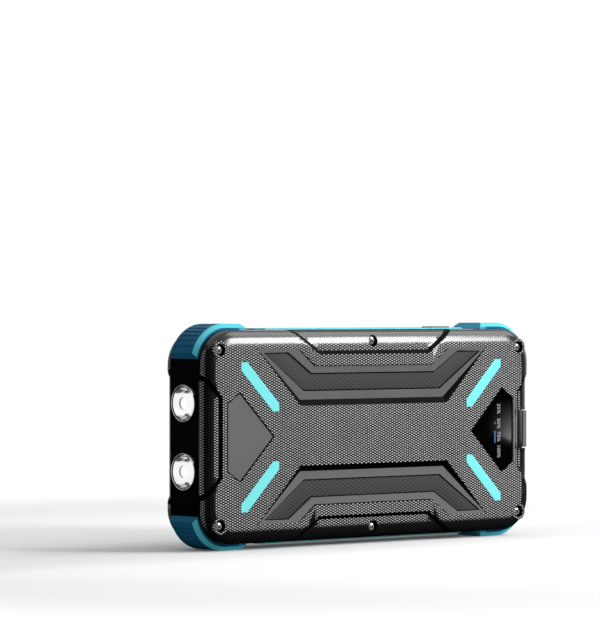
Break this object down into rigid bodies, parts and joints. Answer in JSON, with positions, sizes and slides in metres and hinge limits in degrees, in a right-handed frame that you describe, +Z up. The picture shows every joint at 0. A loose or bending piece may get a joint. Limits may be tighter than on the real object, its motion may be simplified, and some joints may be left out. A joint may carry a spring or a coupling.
{
  "type": "solar power bank",
  "caption": "Rugged solar power bank with ribbed corner bumpers, a solar panel, flashlights at one end and USB sockets behind a hinged cover at the other.",
  "frame": {"origin": "on the floor under the middle of the charger, which stands on its long edge on the two lower bumpers", "axes": "+X along the length towards the port end, +Y through the thickness towards the solar panel, +Z up"},
  "size_m": [0.1696, 0.026, 0.085],
  "materials": {
    "shell_black": "glossy black plastic with a fine raised dot texture, smooth on the sunk bars",
    "frame_silver": "satin silver paint on plastic",
    "gasket_black": "matte",
    "bumper_blue": "satin, ribbed",
    "grip_blue": "satin",
    "strip_cyan": "satin",
    "plate_grey": "fine satin",
    "window_black": "polished, smoked",
    "screw_chrome": "polished",
    "end_black": "polished",
    "lamp_chrome": "mirror coated",
    "lens_clear": "clear",
    "led_white": "satin",
    "board_green": "solder mask",
    "panel_black": "satin",
    "cell_silicon": "satin with fine light lines",
    "sheet_clear": "clear, glossy",
    "flap_grey": "satin",
    "socket_steel": "plated",
    "tongue_dark": "satin",
    "part_dark": "satin",
    "button_black": "satin",
    "plunger_white": "satin",
    "guide_clear": "frosted",
    "battery_foil": "laminated foil",
    "foam_grey": "soft foam",
    "tape_white": "adhesive tape",
    "lead_red": "insulated wire",
    "lead_black": "insulated wire"
  },
  "bodies": {
    "charger": {"back_cover": "shell_black", "solar_bezel": "shell_black", "mid_frame": "frame_silver", "cover_gasket": "gasket_black", "bumper_lamp_top": "bumper_blue", "bumper_lamp_bottom": "bumper_blue", "bumper_port_top": "bumper_blue", "bumper_port_bottom": "bumper_blue", "side_grip_top": "grip_blue", "side_grip_bottom": "grip_blue", "accent_strip_lamp_top": "strip_cyan", "accent_strip_lamp_bottom": "strip_cyan", "accent_strip_port_top": "strip_cyan", "accent_strip_port_bottom": "strip_cyan", "diamond_plate": "plate_grey", "indicator_window": "window_black", "cover_screws": "screw_chrome", "lamp_end_plate": "end_black", "lamp_reflector_top": "lamp_chrome", "lamp_reflector_bottom": "lamp_chrome", "lamp_lens_top": "lens_clear", "lamp_lens_bottom": "lens_clear", "lamp_leds": "led_white", "lamp_board": "board_green", "cell_board": "panel_black", "solar_cells": "cell_silicon", "clear_sheet": "sheet_clear", "port_end_plate": "end_black", "usb_a_socket_top": "socket_steel", "usb_a_socket_bottom": "socket_steel", "usb_c_socket": "socket_steel", "usb_tongues": "tongue_dark", "main_board": "board_green", "board_parts": "part_dark", "board_screws": "screw_chrome", "button_switch": "part_dark", "indicator_leds": "led_white", "light_guide": "guide_clear", "battery_cell_upper": "battery_foil", "battery_cell_lower": "battery_foil", "battery_foam": "foam_grey", "battery_tape": "tape_white", "battery_leads": "lead_red", "solar_leads": "lead_red", "lamp_leads": "lead_black"},
    "power_button": {"power_button": "button_black", "switch_plunger": "plunger_white"},
    "port_cover": {"port_cover": "flap_grey"}
  },
  "joints": [
    {"name": "button_press", "type": "slide", "parent": "charger", "child": "power_button", "axis": [0, 0, -1], "range_m": [0, 0.0006], "stiffness_N_per_m": 800},
    {"name": "port_cover_hinge", "type": "hinge", "parent": "charger", "child": "port_cover", "pos_m": [0.0824, 0.0062, 0.0425], "axis": [0, 0, 1], "range_deg": [0, 120]}
  ]
}
